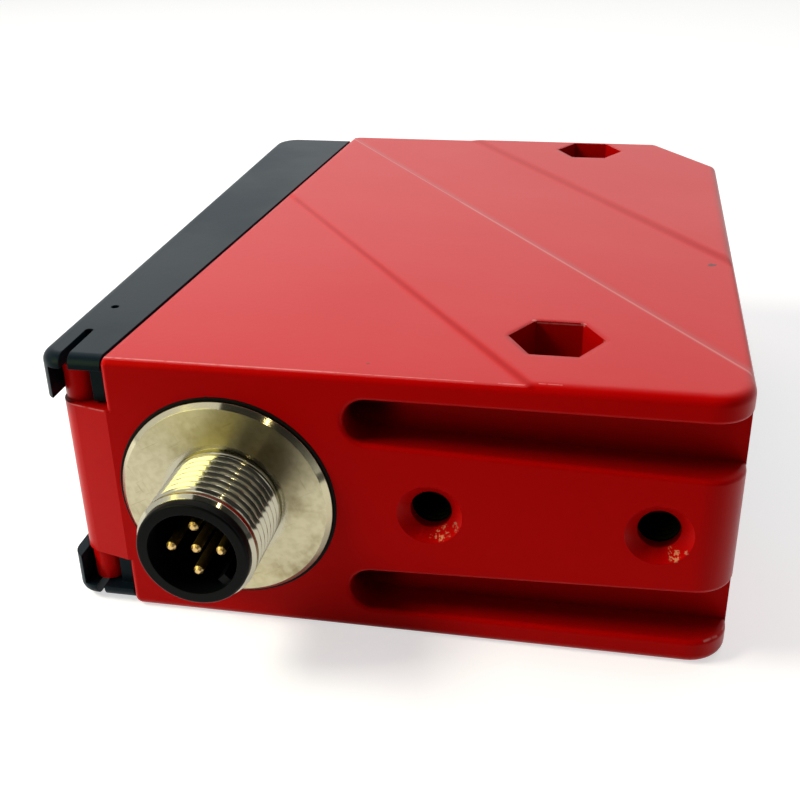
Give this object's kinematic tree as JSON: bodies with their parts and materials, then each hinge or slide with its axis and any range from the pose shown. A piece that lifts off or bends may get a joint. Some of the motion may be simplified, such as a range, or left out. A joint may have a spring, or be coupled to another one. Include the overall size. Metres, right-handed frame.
{
  "type": "optical distance sensor",
  "caption": "Flat die-cast optical distance sensor with a clip-on front frame and glass, a rear key panel, clamp grooves, nut pockets and a round threaded plug.",
  "frame": {"origin": "midway between the two bolt holes, halfway through the body", "axes": "+Z along the bolt holes, +Y away from the plug end, +X away from the front glass"},
  "size_m": [0.07, 0.1004, 0.03],
  "materials": {
    "casting_red": "semi-gloss red paint on a zinc die-casting",
    "frame_black": "finely textured black moulding",
    "window_glass": "flat clear glass",
    "seal_rubber": "black sealing rubber",
    "nickel": "nickel-plated brass",
    "insert_black": "black contact carrier",
    "contact_gold": "gold-plated contacts",
    "board_green": "coated circuit board",
    "ribbon_amber": "flexible film circuit",
    "fastener_steel": "plain steel",
    "optic_glass": "polished lens",
    "carrier_black": "light-absorbing black moulding",
    "barrel_aluminium": "turned aluminium",
    "chip_black": "moulded component body",
    "panel_black": "black panel moulding",
    "display_smoke": "smoked display pane",
    "key_grey": "grey push key",
    "guide_clear": "clear light guide",
    "lamp_white": "small lamp body"
  },
  "bodies": {
    "sensor": {"housing": "casting_red", "front_frame": "frame_black", "front_window": "window_glass", "window_seal": "seal_rubber", "connector_shell": "nickel", "connector_insert": "insert_black", "contact_pin_1": "contact_gold", "contact_pin_2": "contact_gold", "contact_pin_3": "contact_gold", "contact_pin_4": "contact_gold", "contact_pin_5": "contact_gold", "connector_seal": "seal_rubber", "connector_nut": "nickel", "connector_board": "board_green", "connector_ribbon": "ribbon_amber", "optics_carrier": "carrier_black", "carrier_screws": "fastener_steel", "receiver_lens": "optic_glass", "receiver_ring": "barrel_aluminium", "transmitter_barrel": "barrel_aluminium", "transmitter_lens": "optic_glass", "transmitter_ring": "barrel_aluminium", "laser_diode": "fastener_steel", "laser_board": "board_green", "detector_board": "board_green", "line_detector": "chip_black", "detector_screws": "fastener_steel", "main_board": "board_green", "processor": "chip_black", "power_inductor": "chip_black", "filter_capacitor": "barrel_aluminium", "board_screws": "fastener_steel", "board_link": "chip_black", "control_panel": "panel_black", "panel_seal": "seal_rubber", "panel_screws": "fastener_steel", "display_window": "display_smoke", "display_module": "chip_black", "panel_board": "board_green", "panel_board_screws": "fastener_steel", "status_guide_1": "guide_clear", "status_guide_2": "guide_clear", "status_lamp_1": "lamp_white", "status_lamp_2": "lamp_white", "menu_switch": "chip_black", "enter_switch": "chip_black"},
    "menu_key_body": {"menu_key": "key_grey", "menu_plunger": "chip_black"},
    "enter_key_body": {"enter_key": "key_grey", "enter_plunger": "chip_black"}
  },
  "joints": [
    {"name": "menu_press", "type": "slide", "parent": "sensor", "child": "menu_key_body", "axis": [-1, 0, 0], "range_m": [0, 0.0003], "stiffness_N_per_m": 2000},
    {"name": "enter_press", "type": "slide", "parent": "sensor", "child": "enter_key_body", "axis": [-1, 0, 0], "range_m": [0, 0.0003], "stiffness_N_per_m": 2000}
  ]
}
